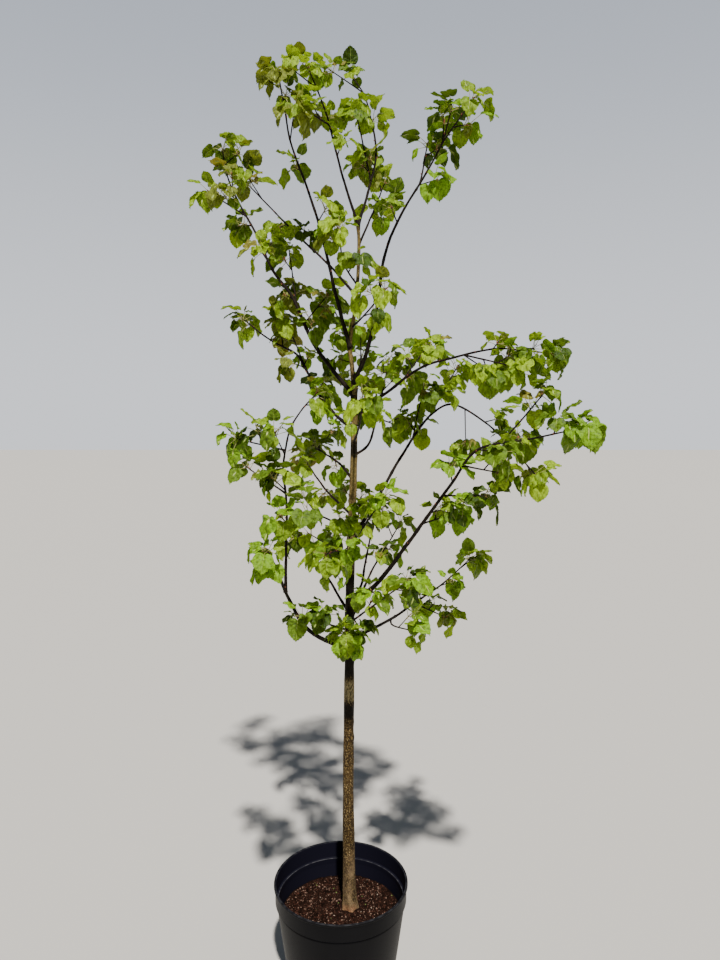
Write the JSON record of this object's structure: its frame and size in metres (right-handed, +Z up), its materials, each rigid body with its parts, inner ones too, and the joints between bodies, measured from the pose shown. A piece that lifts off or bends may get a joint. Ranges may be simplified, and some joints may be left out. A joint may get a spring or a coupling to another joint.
{
  "type": "potted lime sapling",
  "caption": "Young broadleaf tree with a slim straight trunk, rising boughs and an open leafy head, standing in a round nursery pot filled with its root ball of compost.",
  "frame": {"origin": "middle of the pot's flat underside, on the ground", "axes": "+Z up along the trunk, +X to the right and +Y away from the front"},
  "size_m": [1.1008, 0.8579, 2.7466],
  "materials": {
    "bark": "matte, flecked with pale pores",
    "young_bark": "smooth, slightly satin",
    "foliage_bright": "satin",
    "foliage_bronze": "satin",
    "foliage_deep": "satin",
    "pot_plastic": "satin moulded",
    "compost": "coarse, matte"
  },
  "bodies": {
    "root": {"pot": "pot_plastic", "root_ball": "compost", "trunk": "bark", "bough_leader_left": "young_bark", "bough_leader_right": "young_bark", "bough_left_rise": "bark", "bough_upper_left": "bark", "bough_back_left_top": "young_bark", "bough_right_leader": "bark", "bough_back_right_top": "young_bark", "bough_mid_left": "bark", "bough_low_left": "bark", "bough_left_upright": "young_bark", "bough_back_left": "young_bark", "bough_back_left_mid": "young_bark", "bough_pruned_shoot": "young_bark", "bough_main_right": "bark", "bough_mid_right": "bark", "bough_upper_right": "bark", "bough_back_right": "young_bark", "bough_low_right": "bark", "bough_front_right": "young_bark", "bough_back": "bark", "bough_back_right_low": "young_bark", "bough_back_left_low": "young_bark", "bough_back_mid": "young_bark", "bough_front_mid": "young_bark", "foliage_leader_left": "foliage_bronze", "foliage_leader_right": "foliage_bright", "foliage_left_rise": "foliage_bronze", "foliage_upper_left": "foliage_bronze", "foliage_back_left_top": "foliage_bronze", "foliage_right_leader": "foliage_bright", "foliage_back_right_top": "foliage_deep", "foliage_mid_left": "foliage_bronze", "foliage_low_left": "foliage_bright", "foliage_left_upright": "foliage_bright", "foliage_back_left": "foliage_deep", "foliage_back_left_mid": "foliage_deep", "foliage_main_right": "foliage_bright", "foliage_mid_right": "foliage_bright", "foliage_upper_right": "foliage_bright", "foliage_back_right": "foliage_deep", "foliage_low_right": "foliage_bright", "foliage_low_spur": "foliage_bright", "foliage_front_right": "foliage_bright", "foliage_back": "foliage_deep", "foliage_back_right_low": "foliage_deep", "foliage_back_left_low": "foliage_deep", "foliage_back_mid": "foliage_deep", "foliage_front_mid": "foliage_bright", "foliage_front_left": "foliage_bright", "foliage_front": "foliage_bright", "foliage_front_right_low": "foliage_bright", "foliage_front_left_low": "foliage_bright", "foliage_rosette": "foliage_bright", "foliage_back_upper": "foliage_deep", "foliage_front_upper": "foliage_bright", "foliage_front_top": "foliage_bright"}
  },
  "joints": []
}
